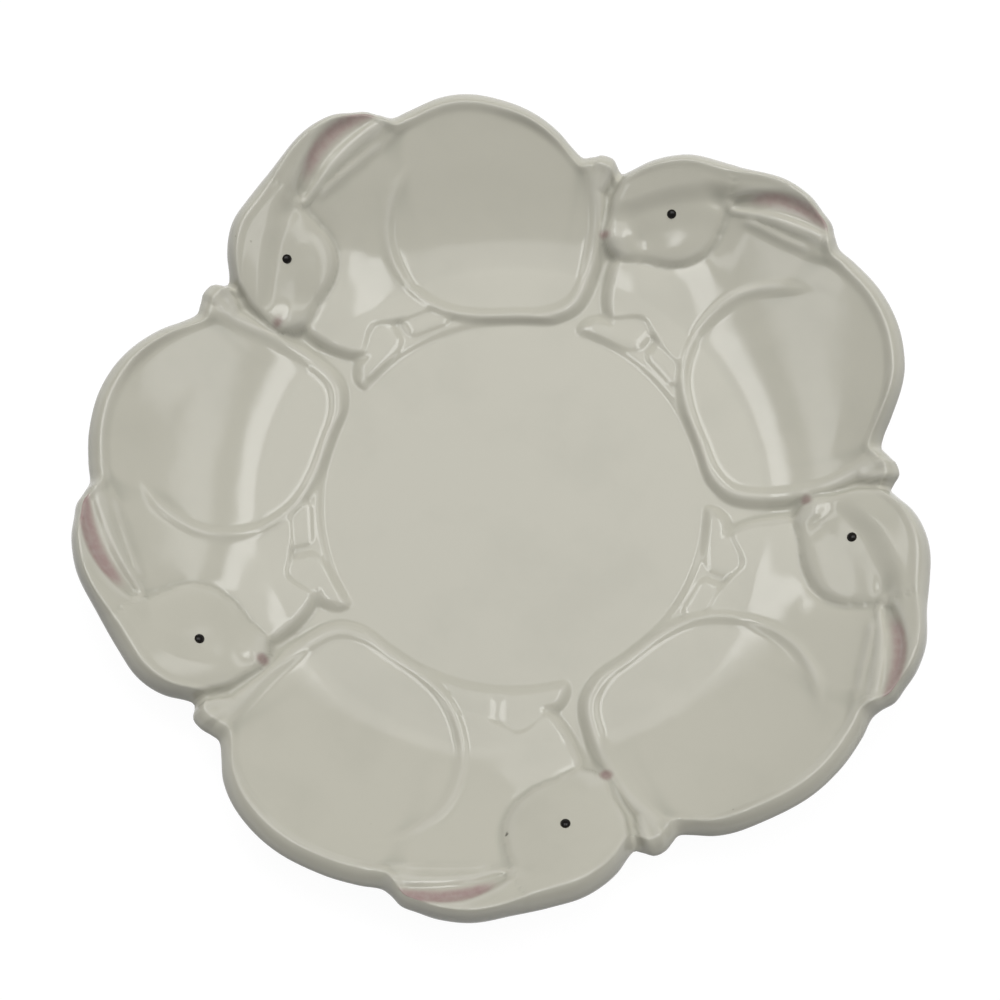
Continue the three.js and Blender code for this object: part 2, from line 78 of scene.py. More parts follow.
# How far each rabbit strays from the drawing. Its rim is moved outward at nine angles, in
# millimetres, its head outward, and its head, ear and tail along the rim, in degrees. Its brow has
# its own depth, in millimetres, and its paws are set under the chest by a share of their full depth.
LIFT_ANGLES = [-7, 1, 9, 17, 26, 35, 44, 51, 58]
RIM_LIFTS = [
    [-1, 0.5, 2, 3.5, 2.5, 3.5, 2.5, 1, -0.5],
    [-1.5, 0, 0, 0, 1, 0.5, -0.5, -3, 0],
    [1.5, 1, -1, -2, -1.5, -3, -3.5, -1.5, 0],
    [-0.5, -1, -1.5, -2.5, -2, -2, 0.5, 1.5, 0],
    [1, 0.5, 0.5, 0, 0.5, 0.5, 2, 1, 0],
]
HEAD_SHIFTS = np.array([1, 1.3, -0.7, -1.7, 0.2])
HEAD_SWINGS = np.array([1.1, 0.7, -1.7, -0.5, -0.5])
EAR_SWINGS = [1.6, -0.4, -1, 0.2, 1.6]
TAIL_SWINGS = [0, -0.5, -0.2, 1.2, 1.6]
BROW_DEPTHS = np.array([1.2, 1.6, 1.4, 0.4, 0.4])
PAW_SHARES = np.array([1, 1, 0.9, 0.45, 0.85])


# A smooth rise from 0 at its start to 1 where it is full
def ramp(x, start, full):
    share = np.clip((x - start) / (full - start), 0, 1)
    return share * share * (3 - 2 * share)


# A bump with long soft sides
def bump(distance, width):
    return np.exp(-((distance / width) ** 2))


# A swelling that ends at its reach
def swell(distance, reach):
    return (1 - np.clip(np.abs(distance) / reach, 0, 1) ** 2) ** 2


# The lower and the upper of two distances or heights, rounded into each other over a width
def round_min(a, b, width):
    share = np.clip(0.5 + 0.5 * (b - a) / width, 0, 1)
    return b + (a - b) * share - width * share * (1 - share)


def round_max(a, b, width):
    return -round_min(-a, -b, width)


# A smooth curve through stations that comes round again after a period
def all_round(stations, period):
    xs = np.array([x + turn * period for turn in (-1, 0, 1) for x, _ in stations])
    ys = np.array([y for _ in range(3) for _, y in stations])
    slopes = np.gradient(ys)
    slopes[1:-1] = (ys[2:] - ys[:-2]) / (xs[2:] - xs[:-2])

    def at(x):
        left = np.clip(np.searchsorted(xs, x) - 1, 0, len(xs) - 2)
        span = xs[left + 1] - xs[left]
        share = (x - xs[left]) / span
        rise = ys[left + 1] - ys[left]
        lean = slopes[left] * span - rise
        level = rise - slopes[left + 1] * span
        return ys[left] + share * rise + share * (1 - share) * (lean * (1 - share) + level * share)

    return at


outline_radius = all_round(OUTLINE, STEP)


# The rolled edge is broad round heads and haunches, and narrower along the ears
ROLL = 5.2
NARROWER_ROLL = 1.5
NARROWER_STARTS = (4, 10)
NARROWER_ENDS = (21, 26)


def roll_width(angle):
    return ROLL - NARROWER_ROLL * ramp(angle, *NARROWER_STARTS) * (1 - ramp(angle, *NARROWER_ENDS))


# The crest round the haunch's dish: angle clockwise round the dish's middle, and distance from it
DISH_CREST = [
    (-170, 39.6), (-154, 35.4), (-136, 34.2), (-111, 35), (-82, 35.5), (-55, 35.3), (-38, 34),
    (-17, 32.4), (7, 32), (36, 34), (64, 35.6), (83, 37.6), (109, 39.8), (134, 39), (148, 38.8),
    (163, 39.8), (178, 41.6),
]
crest_radius = all_round(DISH_CREST, 360)
lift_stations = [
    (angle + STEP * rabbit, RIM_LIFTS[rabbit][place])
    for rabbit in range(RABBITS)
    for place, angle in enumerate(LIFT_ANGLES)
]
rim_lift = all_round(lift_stations, 360)
swing_stations = [
    (angle + STEP * rabbit, swing)
    for rabbit in range(RABBITS)
    for angle, swing in ((0, 0), (22, EAR_SWINGS[rabbit]), (44, 0), (60.5, TAIL_SWINGS[rabbit]))
]
rim_swing = all_round(swing_stations, 360)


# Distance to a drawn line, and how far along it the nearest place lies, from 0 to 1
def near_line(x, y, points):
    gap = np.full(x.shape, np.inf)
    along = np.zeros(x.shape)
    for i in range(len(points) - 1):
        ax, ay = points[i]
        bx, by = points[i + 1]
        run = (bx - ax) ** 2 + (by - ay) ** 2
        share = np.clip(((x - ax) * (bx - ax) + (y - ay) * (by - ay)) / run, 0, 1)
        distance = np.hypot(x - ax - share * (bx - ax), y - ay - share * (by - ay))
        nearer = distance < gap
        gap = np.where(nearer, distance, gap)
        along = np.where(nearer, (i + share) / (len(points) - 1), along)
    return gap, along


# A drawn line bent smoothly through its points
def bent(points, steps=6):
    rows = np.array([points[0], *points, points[-1]], float)
    line = []
    for i in range(1, len(rows) - 2):
        before, start, end, after = rows[i - 1:i + 3]
        for share in np.arange(steps) / steps:
            pull = (end - before) * share + (2 * before - 5 * start + 4 * end - after) * share ** 2
            line.append(start + 0.5 * (pull + (3 * start - before - 3 * end + after) * share ** 3))
    line.append(rows[-1])
    return line


# Lines of the drawing: over the eye, along the ear's hollow and the back, under the chest, and
# along the two paws. The noses follow, one for each rabbit.
BROW = bent([(-17, 104), (-8, 112.3), (0, 118.6), (9, 123.6), (17, 126.2), (26, 128)])
EAR_HOLLOW = bent([(21, 126.2), (28, 128.6), (35, 130), (42, 130), (49, 128.8), (56, 126.6)])
BACK_RIDGE = bent([(23.7, 122), (32.6, 121.7), (41.7, 121), (53.5, 120.1), (63, 118.6), (74, 113.9)])
CHEST_FOOT = bent([
    (-7, 77.5), (-3.5, 76), (0, 74.6), (5.8, 78), (10, 78.9), (15, 75.3), (21, 72.2), (27.5, 69.8),
])
FRONT_PAW = [(-3.5, 68.5), (9.5, 70.8)]
HIND_PAW = [(19, 68.5), (28, 65)]
NOSES = np.array([(-15, 100.3), (-16.4, 98.6), (-15.6, 96.4), (-16.4, 96.7), (-14.4, 97.6)])


# The turned form under the relief: level from the ring outward, then flaring up to the rim. The
# underside follows it.
def wall_height(radius):
    flare = np.maximum(0, (radius - FLARE_START) / (RIM_RADIUS - FLARE_START))
    return FLOOR_TOP + RING_RISE + FLARE_RISE * flare ** FLARE_POWER


def underside(radius):
    flare = np.maximum(0, (radius - FLOOR_RADIUS) / (RIM_RADIUS - FLOOR_RADIUS))
    return FLOOR_UNDER + UNDERSIDE_RISE * flare ** UNDERSIDE_POWER


# The lower edge of the ear, from under the cheek out to its tip
EAR_EDGE_START = 120.3
EAR_EDGE_LEAN = 0.28
EAR_EDGE_SWEEP = 0.0078


def ear_edge(angle):
    return EAR_EDGE_START + EAR_EDGE_LEAN * angle + EAR_EDGE_SWEEP * angle ** 2


# A shape's shoulder: 0 at its edge and 1 from the rounding's width inside it
EDGE_WIDTH = 3.6
EDGE_FULLNESS = 0.62


def shoulder(distance, width=EDGE_WIDTH):
    return ramp(-distance, 0, width) ** EDGE_FULLNESS


# A dome over a shape: 0 at its edge and 1 from the rounding's width inside it
def dome(distance, rounding):
    return 1 - (1 - np.clip(-distance / rounding, 0, 1)) ** 2


# A shape laid over the relief that is there, rounded into it
FIGURE_BLEND = 0.8


def laid_over(relief, shape, distance, width):
    return relief + (round_max(relief, shape, FIGURE_BLEND) - relief) * shoulder(distance, width)


# A drawn line as its angles from the eye and its radii
def polar(points):
    rows = np.array(points)
    return np.degrees(np.arctan2(rows[:, 0], rows[:, 1])), np.hypot(rows[:, 0], rows[:, 1])


# How far a place lies inside the leaf-shaped hollow of the ear, 0 at its edge and 1 at its middle,
# and how far along the hollow
LEAF_END = 1.2
LEAF_SWELL = 3.4
LEAF_ROOT = 0.1
LEAF_SPAN = 0.88
LEAF_FULLNESS = 0.8


def in_ear(x, y):
    gap, along = near_line(x, y, EAR_HOLLOW)
    half_turn = math.pi * (LEAF_ROOT + LEAF_SPAN * along)
    half_width = LEAF_END + LEAF_SWELL * np.sin(half_turn) ** LEAF_FULLNESS
    return 1 - gap / half_width, along


# Places and sizes of the relief on the drawing, part by part. A pair named STARTS, ENDS, STEP or the
# like says where a change starts and where it is full. The body comes first: shoulder, back with its
# ridge, and the paws' heels.
SHOULDER = (25, 95)
SHOULDER_RADIUS = 36
BACK = [(32, 106), (69, 96)]
BACK_RADIUS = 43
HEEL = 64
BODY_BLEND = 2
RIDGE_RISE = 1.1
RIDGE_WIDTH = 1.4
RIDGE_STARTS = (0, 0.1)
RIDGE_ENDS = (0.5, 0.9)

# Haunch, with angles clockwise round the dish's middle
DISH = (62.5, 78.5)
HAUNCH_BORDER = 4.2
CREST_RISE = 1.1
CREST_WIDTH = 1.9
CREST_INSIDE = 0.4
CREST_BEYOND = 3
CREST_BEYOND_SHARE = 0.5
CREST_HIGHEST = 20
CREST_LOW_WIDTH = 60
CREST_LOW_SHARE = 0.6
FLANK_OPENS = (-36, -4)
FLANK_CLOSES = (40, 80)
THIGH_STARTS = (-150, -128)
THIGH_ENDS = (-10, 6)
THIGH_STEP = (-0.9, 2.4)

# Chest and paws
CHEST = (5, 87)
CHEST_WIDTH = 14
CHEST_HEIGHT = 9
CHEST_LEVEL = 0.3
CHEST_RISE = 1.2
CHEST_LEDGE = (-0.4, 1.2)
TOES = (-8, -5)
PAW_ARC = 66
PAW_ANGLES = (-1.5, 30)
PAW_REACH = 8
PAW_AXIS = 70
PAW_RISE = 0.8
PAW_DROP = 1.3
FRONT_PAW_RADIUS = 5.2
FRONT_PAW_ROUNDING = 5
HIND_PAW_RADIUS = 4
PAW_BLEND = 0.1

# Tail
TAIL_ANGLE = 59.4
TAIL_TIP = 113.5
TAIL_BASE = 114
TAIL_WIDTH = 2.2
TAIL_SPREAD = 0.28
TAIL_BLEND = 1.2
TAIL_RISE = 1.7
TAIL_HOLLOW = 1.1
TAIL_GROOVE = 2.4
TAIL_SHOULDER = 1.6

# Ear
EAR_FRONT = -8.6
EAR_END = 28
EAR_SLOPE = 0.88
EAR_BLEND = 2
EAR_LEDGE = 1
EAR_RISE = 1.7
EAR_ROUNDING = 7
EAR_SHOULDER = 2.4
EAR_DEPTH = 2.1
EAR_WALL = (-0.1, 0.7)

# Head
CHEEK = (-1, 112.8)
CHEEK_WIDTH = 20.3
CHEEK_HEIGHT = 16.3
FOREHEAD_HEIGHT = 32
MUZZLE = (-10, 100)
MUZZLE_RADIUS = 6.6
MUZZLE_BLEND = 7
MUZZLE_TIP = (-15, 98)
MUZZLE_TIP_WIDTH = 2.8
MUZZLE_TIP_RISE = 0.5
HEAD_LEDGE = 1.2
HEAD_RISE = 2.2
HEAD_ROUNDING = 13
HEAD_SHOULDER = 2.2
HEAD_SHOULDER_ON_EAR = 3
HEAD_ON_EAR = (1, 6)
JAW_DEPTH = 0.6
JAW_WIDTH = 1.3
JAW_FADE = 3

# Brow: a step with its foot on the cheek, and the groove that leads from it into the ear
BROW_TOP = (-2.5, 4.5)
BROW_FOOT = -17
BROW_SPREAD = 16
BROW_FULL = -8
BROW_STARTS = (0, 0.15)
BROW_ENDS = (0.7, 1)
EAR_ROOT_SHARE = 0.6
EAR_ROOT_WIDTH = 3
EAR_ROOT_STARTS = (0.5, 0.75)


# Distance from a place on the drawing
def away_from(place, x, y):
    return np.hypot(x - place[0], y - place[1])


# One rabbit's relief above the ground that shows between rabbits
def rabbit_relief(rabbit, radius, angle, rise):
    x = radius * np.sin(np.radians(angle))
    y = radius * np.cos(np.radians(angle))

    # Silhouette of the body: haunch, shoulder, back and paws joined
    paw_turn = np.radians(np.clip(angle, *PAW_ANGLES))
    paw_middle = (PAW_ARC * np.sin(paw_turn), PAW_ARC * np.cos(paw_turn))
    paw_edge = away_from(paw_middle, x, y) - PAW_REACH
    chest_edge = np.maximum(away_from(SHOULDER, x, y) - SHOULDER_RADIUS, HEEL - radius)
    back_edge = np.maximum(near_line(x, y, BACK)[0] - BACK_RADIUS, HEEL - radius)
    dish_turn = np.degrees(np.arctan2(x - DISH[0], y - DISH[1]))
    dish_edge = away_from(DISH, x, y) - crest_radius(dish_turn)
    body_edge = dish_edge - HAUNCH_BORDER
    for edge in (chest_edge, back_edge, paw_edge):
        body_edge = round_min(body_edge, edge, BODY_BLEND)

    # Haunch: a shallow dish inside a thin crest, open under the back, where it runs up to the rim.
    # Along the thigh the crest drops to the chest.
    open_flank = ramp(dish_turn, *FLANK_OPENS) * (1 - ramp(dish_turn, *FLANK_CLOSES))
    ring_side = bump(180 - np.abs(dish_turn - CREST_HIGHEST), CREST_LOW_WIDTH)
    crest = CREST_RISE * (1 - CREST_LOW_SHARE * ring_side) * (1 - open_flank)
    chest = CHEST_LEVEL + CHEST_RISE * bump(x - CHEST[0], CHEST_WIDTH) * bump(y - CHEST[1], CHEST_HEIGHT)
    along_thigh = (1 - ramp(dish_turn, *THIGH_ENDS)) * ramp(dish_turn, *THIGH_STARTS)
    past_thigh = ramp(dish_edge, *THIGH_STEP)
    beyond = crest * (1 - CREST_BEYOND_SHARE * ramp(dish_edge, 0, CREST_BEYOND))
    outside = beyond + (chest - beyond) * along_thigh * past_thigh
    inside = crest * bump(dish_edge + CREST_INSIDE, CREST_WIDTH)
    top = rise + np.where(dish_edge < -CREST_INSIDE, inside, outside)

    # Two paws tucked under the chest, and the ridge of the back under the ear
    foot_radius = np.interp(angle, *polar(CHEST_FOOT))
    under_chest = ramp(foot_radius - radius, *CHEST_LEDGE) * ramp(angle, *TOES) * past_thigh * along_thigh
    paw_scale = np.minimum(1, PAW_AXIS / np.maximum(radius, 1))
    to_front_paw = near_line(x * paw_scale, y * paw_scale, FRONT_PAW)[0]
    to_hind_paw = near_line(x * paw_scale, y * paw_scale, HIND_PAW)[0]
    front_paw = dome(to_front_paw - FRONT_PAW_RADIUS, FRONT_PAW_ROUNDING)
    hind_paw = dome(to_hind_paw - HIND_PAW_RADIUS, HIND_PAW_RADIUS)
    paws = PAW_RISE * round_max(front_paw, hind_paw, PAW_BLEND) - PAW_DROP
    top += PAW_SHARES[rabbit] * under_chest * paws
    ridge_gap, ridge_along = near_line(x, y, BACK_RIDGE)
    ridge_share = ramp(ridge_along, *RIDGE_STARTS) * (1 - ramp(ridge_along, *RIDGE_ENDS))
    top += RIDGE_RISE * bump(ridge_gap, RIDGE_WIDTH) * ridge_share
    relief = top * shoulder(body_edge)

    # Tail: a wedge on the rim with a slightly hollow top, narrowing inward
    beside_tail = np.radians(angle - TAIL_ANGLE) * radius
    tail_side = np.abs(beside_tail) - TAIL_WIDTH - TAIL_SPREAD * (radius - TAIL_BASE)
    tail_edge = round_max(tail_side, TAIL_TIP - radius, TAIL_BLEND)
    tail_top = rise + TAIL_RISE - TAIL_HOLLOW * bump(beside_tail, TAIL_GROOVE)
    relief = laid_over(relief, tail_top, tail_edge, TAIL_SHOULDER)

    # Ear swept back along the rim
    before_ear = np.radians(EAR_FRONT - angle) * radius
    past_ear = np.radians(angle - EAR_END) * radius
    ear_distance = round_max(EAR_SLOPE * (ear_edge(angle) - radius), before_ear, EAR_BLEND)
    ear_distance = round_max(ear_distance, past_ear, EAR_BLEND)
    ear_top = rise + EAR_LEDGE + EAR_RISE * dome(ear_distance, EAR_ROUNDING)
    relief = laid_over(relief, ear_top, ear_distance, EAR_SHOULDER)

    # Head: a low dome with a muzzle, set off by a crease under the jaw
    cheek_reach = np.where(y > CHEEK[1], FOREHEAD_HEIGHT, CHEEK_HEIGHT)
    cheek_share = np.hypot((x - CHEEK[0]) / CHEEK_WIDTH, (y - CHEEK[1]) / cheek_reach)
    muzzle_edge = away_from(MUZZLE, x, y) - MUZZLE_RADIUS
    head_edge = round_min((cheek_share - 1) * CHEEK_HEIGHT, muzzle_edge, MUZZLE_BLEND)
    jaw = np.exp(-np.maximum(head_edge, 0) / JAW_WIDTH) * (head_edge > 0)
    relief -= JAW_DEPTH * jaw * ramp(-body_edge, 0, JAW_FADE)
    head_shoulder = HEAD_SHOULDER + HEAD_SHOULDER_ON_EAR * ramp(-ear_distance, *HEAD_ON_EAR)
    head_top = rise + HEAD_LEDGE + HEAD_RISE * dome(head_edge, HEAD_ROUNDING)
    relief = laid_over(relief, head_top, head_edge, head_shoulder)

    # Soft step of the brow over the eye, which opens into the ear's hollow
    leaf, _ = in_ear(x, y)
    brow_gap, brow_along = near_line(x, y, BROW)
    above_brow = np.where(radius > np.interp(angle, *polar(BROW)), brow_gap, -brow_gap)
    brow_foot = BROW_FOOT - BROW_SPREAD * brow_along
    brow = (1 - ramp(above_brow, *BROW_TOP)) * ramp(above_brow, brow_foot, BROW_FULL)
    brow *= ramp(brow_along, *BROW_STARTS) * (1 - ramp(brow_along, *BROW_ENDS))
    ear_root = EAR_ROOT_SHARE * bump(brow_gap, EAR_ROOT_WIDTH) * ramp(brow_along, *EAR_ROOT_STARTS)
    relief -= BROW_DEPTHS[rabbit] * (brow + ear_root) + EAR_DEPTH * ramp(leaf, *EAR_WALL)
    relief += MUZZLE_TIP_RISE * bump(away_from(MUZZLE_TIP, x, y), MUZZLE_TIP_WIDTH)
    return relief


# The upper surface: the ring's inner wall, ground, rabbits, and a low lip where the rim turns over
RING_FOOT = FLOOR_RADIUS + 0.9
RING_TOP = FLOOR_RADIUS + 4.7
LIP = 0.3
LIP_WIDTH = 3
HIGHER_LIP = 0.5
HIGHER_LIP_STARTS = (20, 28)
HIGHER_LIP_ENDS = (49, 54)


def top_height(rabbit, radius, angle):
    wall = wall_height(radius)
    ground = np.maximum(FLOOR_TOP, wall - VALLEY_DEPTH)
    height = ground.copy()
    for turn in (-STEP, 0, STEP):
        height += rabbit_relief(rabbit, radius, angle + turn, wall - ground)
    on_haunch = ramp(angle, *HIGHER_LIP_STARTS) * (1 - ramp(angle, *HIGHER_LIP_ENDS))
    past_brink = radius - outline_radius(angle) + roll_width(angle)
    height += (LIP + HIGHER_LIP * on_haunch) * ramp(past_brink, -LIP_WIDTH, 0)
    return FLOOR_TOP + (height - FLOOR_TOP) * ramp(radius, RING_FOOT, RING_TOP)


# Which rabbit a place on the plate belongs to, and its angle from that rabbit's eye. A rabbit's
# share of the rim starts in front of its nose.
SHARE_START = -12


def on_drawing(around):
    rabbit = np.floor((around - SHARE_START) / STEP).astype(int)
    return rabbit % RABBITS, around - STEP * rabbit


# From the drawing to the plate, moved as the modeller's hand strayed. The rim strays from these
# shares of its radius outward, and the head within an angle and a distance of the eye.
RIM_REACH = (0.83, 0.97)
EYE_PLACE = 113
HEAD_ANGLE = 9
HEAD_REACH = 27


def on_plate(rabbit, radius, angle):
    around = angle + STEP * rabbit
    reach = ramp(radius / outline_radius(angle), *RIM_REACH)
    at_head = swell(angle, HEAD_ANGLE) * swell(radius - EYE_PLACE, HEAD_REACH)
    swing = HEAD_SWINGS[rabbit] * at_head + rim_swing(around) * reach
    plate_radius = radius + HEAD_SHIFTS[rabbit] * at_head + rim_lift(around) * reach
    turn = np.radians(FIRST_EYE - around - swing)
    return plate_axis.x / MM + plate_radius * np.cos(turn), plate_axis.y / MM + plate_radius * np.sin(turn)


# The casting starts as a flat sheet of rings and columns, which is bent round into a disc, and
# every ring is then moved to its place: floor, relief, rolled edge and underside
FLOOR_RINGS = [0, 16, 31, 43, 52, 58, 60.5, 61.7]
RELIEF_RINGS = 104
RING_EASING = 0.35
ROLL_RINGS = 14
ROLL_BEVEL = 1.43
UNDER_SHARES = [0.93, 0.84, 0.73, 0.6, 0.45, 0.3, 0.15]
UNDER_RINGS = [62, 58, 54, 46, 0]
COLUMNS = 720
ring_count = len(FLOOR_RINGS) + RELIEF_RINGS + ROLL_RINGS + len(UNDER_SHARES) + len(UNDER_RINGS)

bm = bmesh.new()
bmesh.ops.create_grid(bm, x_segments=COLUMNS, y_segments=ring_count - 1, size=0.5)
sheet = np.array([vert.co for vert in bm.verts]) + 0.5
ring = np.rint(sheet[:, 1] * (ring_count - 1)).astype(int)
column = np.rint(sheet[:, 0] * COLUMNS).astype(int)
rabbit, angle = on_drawing(column * 360 / COLUMNS + SHARE_START)
brink = outline_radius(angle) - roll_width(angle)

first_roll = len(FLOOR_RINGS) + RELIEF_RINGS
first_under = first_roll + ROLL_RINGS
shares = np.arange(1, RELIEF_RINGS + 1) / RELIEF_RINGS
shares = (1 - RING_EASING) * shares + RING_EASING * (1 - np.cos(math.pi * shares)) / 2
drawn = np.zeros(len(ring))
height = np.zeros(len(ring))

on_floor = ring < len(FLOOR_RINGS)
drawn[on_floor] = np.array(FLOOR_RINGS)[ring[on_floor]]
height[on_floor] = FLOOR_TOP

on_relief = (ring >= len(FLOOR_RINGS)) & (ring < first_roll)
share = shares[ring[on_relief] - len(FLOOR_RINGS)]
drawn[on_relief] = FLOOR_RADIUS + (brink[on_relief] - FLOOR_RADIUS) * share
height[on_relief] = top_height(rabbit[on_relief], drawn[on_relief], angle[on_relief])

# The roll is bevelled above its widest place and round below it
on_roll = (ring >= first_roll) & (ring < first_under)
roll_turn = math.pi * (ring[on_roll] - first_roll + 1) / ROLL_RINGS
brink_top = top_height(rabbit[on_roll], brink[on_roll], angle[on_roll])
brink_under = underside(brink[on_roll])
bevel = np.where(roll_turn < math.pi / 2, ROLL_BEVEL, 1)
roll_height = np.sign(np.cos(roll_turn)) * np.abs(np.cos(roll_turn)) ** bevel
drawn[on_roll] = brink[on_roll] + roll_width(angle[on_roll]) * np.abs(np.sin(roll_turn)) ** bevel
height[on_roll] = brink_under + (brink_top - brink_under) * (1 + roll_height) / 2

on_under = (ring >= first_under) & (ring < first_under + len(UNDER_SHARES))
share = np.array(UNDER_SHARES)[ring[on_under] - first_under]
drawn[on_under] = FLOOR_RADIUS + (brink[on_under] - FLOOR_RADIUS) * share
height[on_under] = underside(drawn[on_under])

on_base = ring >= first_under + len(UNDER_SHARES)
drawn[on_base] = np.array(UNDER_RINGS)[ring[on_base] - first_under - len(UNDER_SHARES)]
height[on_base] = FLOOR_UNDER

# Glaze pools in hollows and runs thin over ridges, and the same mask paints shade into the hollows
# and a highlight along the ridges: the height against the mean height around it
LEVELLING_PASSES = 12
heights = np.zeros((ring_count, COLUMNS + 1))
heights[ring, column] = height
level = heights.copy()
for _ in range(LEVELLING_PASSES):
    across = (np.roll(level[:, :-1], 1, axis=1) + np.roll(level[:, :-1], -1, axis=1)) / 2
    level[:, :-1] = (level[:, :-1] + across) / 2
    level[:, -1] = level[:, 0]
    level[1:-1] = (2 * level[1:-1] + level[2:] + level[:-2]) / 4
pool_and_shading = np.clip((level - heights)[ring, column], -1, 1) * on_relief

# Where the pink is brushed on, more thinly on the first three rabbits: up the outer wall of each
# ear's hollow, and on the nose. One speck of iron in the clay lies beside the fourth rabbit's jaw.
PINK_SHARES = np.array([0.75, 0.75, 0.8, 1, 1])
LINING_BORDER = 0.35
WASH_STRETCH = 1.2
WASH_STARTS = (-0.7, 0.4)
WASH_ENDS = (0.7, 1.25)
WASH_ROOT = (0, 0.25)
NOSE_LENGTH = 3.3
NOSE_WIDTH = 2.7
SPECK = (17.7, 111.6)
SPECK_WIDTH = 0.8
SPECK_RABBIT = 3
drawn_x = drawn * np.sin(np.radians(angle))
drawn_y = drawn * np.cos(np.radians(angle))
leaf, leaf_along = in_ear(drawn_x, drawn_y)
outward = WASH_STRETCH * np.sign(drawn - np.interp(angle, *polar(EAR_HOLLOW))) * (1 - leaf)
wash = ramp(outward, *WASH_STARTS) * (1 - ramp(outward, *WASH_ENDS)) * ramp(leaf_along, *WASH_ROOT)
in_lining = np.where(on_relief, leaf + LINING_BORDER, -1)
nose_x = (drawn_x - NOSES[rabbit, 0]) / NOSE_LENGTH
nose_y = (drawn_y - NOSES[rabbit, 1]) / NOSE_WIDTH
in_nose = np.where(on_relief, 1 - np.hypot(nose_x, nose_y), -1)
wash = np.where(in_nose > 0, in_nose, wash) * PINK_SHARES[rabbit]
speck = bump(away_from(SPECK, drawn_x, drawn_y), SPECK_WIDTH) * (rabbit == SPECK_RABBIT) * on_relief

plate_x, plate_y = on_plate(rabbit, drawn, angle)
layers = bm.verts.layers.float
painting = {
    "pool_and_shading": pool_and_shading, "wash": wash, "in_lining": in_lining,
    "in_nose": in_nose, "rabbit": rabbit, "speck": speck,
}
for name in painting:
    layers.new(name)
for i, vert in enumerate(bm.verts):
    vert.co = (plate_x[i] * MM, plate_y[i] * MM, height[i] * MM)
    for name, values in painting.items():
        vert[layers[name]] = values[i]
bmesh.ops.remove_doubles(bm, verts=bm.verts, dist=0.02 * MM)


# Faces shaded as one rounded skin
def shade_smooth(bm):
    for face in bm.faces:
        face.smooth = True


# The glaze melts over the relief and softens it
melted = [vert for vert in bm.verts if vert.co.z > (FLOOR_UNDER + 1) * MM]
bmesh.ops.smooth_vert(bm, verts=melted, factor=0.5, use_axis_z=True)
bmesh.ops.recalc_face_normals(bm, faces=bm.faces)
shade_smooth(bm)
glazed_surface = BVHTree.FromBMesh(bm)


# A finished piece, fixed to the plate, in place of the plain solids it stands for
def add_piece(name, bm, material, slot, *nodes):
    mesh = bpy.data.meshes.new(name)
    bm.to_mesh(mesh)
    bm.free()
    mesh.materials.append(material)
    piece = bpy.data.objects.new(name, mesh)
    bpy.context.scene.collection.objects.link(piece)
    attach(piece, "root")
    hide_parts(*nodes)


# Every glazed colour has the same character: soft mottling, darker where it pools, with painted
# shade in the hollows, paler where it is thin, with a painted highlight on the ridges, a few pinholes,
# and the slow ripple of a melted surface
glaze_group = bpy.data.node_groups.new("glaze_character", "ShaderNodeTree")
for socket_name in ("Colour", "Pooled And Shaded Colour", "Thin And Lit Colour"):
    glaze_group.interface.new_socket(socket_name, in_out="INPUT", socket_type="NodeSocketColor")
glaze_group.interface.new_socket("Pool And Shading", in_out="INPUT", socket_type="NodeSocketFloat")
glaze_group.interface.new_socket("Colour", in_out="OUTPUT", socket_type="NodeSocketColor")
glaze_group.interface.new_socket("Height", in_out="OUTPUT", socket_type="NodeSocketFloat")


def add_node(tree, kind, **settings):
    node = tree.nodes.new(kind)
    for name, value in settings.items():
        setattr(node, name, value)
    return node


def noise(tree, place, scale, detail):
    node = add_node(tree, "ShaderNodeTexNoise")
    node.inputs["Scale"].default_value = scale
    node.inputs["Detail"].default_value = detail
    tree.links.new(place, node.inputs["Vector"])
    return node.outputs["Fac"]


def remap(tree, value, from_low, from_high, to_low, to_high):
    node = add_node(tree, "ShaderNodeMapRange", interpolation_type="SMOOTHSTEP")
    for socket, number in zip(node.inputs[1:5], (from_low, from_high, to_low, to_high)):
        socket.default_value = number
    tree.links.new(value, node.inputs["Value"])
    return node.outputs["Result"]


def mix_colour(tree, share, below, above):
    node = add_node(tree, "ShaderNodeMix", data_type="RGBA")
    tree.links.new(share, node.inputs["Factor"])
    for socket, colour in ((node.inputs["A"], below), (node.inputs["B"], above)):
        if isinstance(colour, tuple):
            socket.default_value = colour
        else:
            tree.links.new(colour, socket)
    return node.outputs["Result"]


def calculate(tree, operation, first, second):
    node = add_node(tree, "ShaderNodeMath", operation=operation)
    for socket, value in zip(node.inputs, (first, second)):
        if isinstance(value, (int, float)):
            socket.default_value = value
        else:
            tree.links.new(value, socket)
    return node.outputs["Value"]


# Sizes and strengths of that character. A scale counts features in a metre, and a pair says between
# which values a change comes in.
# Where the mask turns to the darker pooled tone with painted shade, and to the paler thin tone with painted
# highlight
POOLED_AND_SHADED = (0.03, 0.6)
THINNED_AND_LIT = (-0.6, -0.05)
MOTTLING_SCALE = 38
MOTTLED = (0.45, 0.75)
MOTTLING_SHARE = 0.35
PIT_SCALE = 90
PIT_EDGE = (0.02, 0.045)
PIT_BROWN = (0.2, 0.17, 0.13, 1)
PIT_SHADE = 0.3
PIT_DEPTH = 0.4
PITTED_SCALE = 21
PITTED = (0.6, 0.68)
RIPPLE_SCALE = 130
RIPPLE_STRENGTH = 0.12
RIPPLE_DEPTH = 0.4
glaze_in = add_node(glaze_group, "NodeGroupInput").outputs
glaze_place = add_node(glaze_group, "ShaderNodeTexCoord").outputs["Object"]
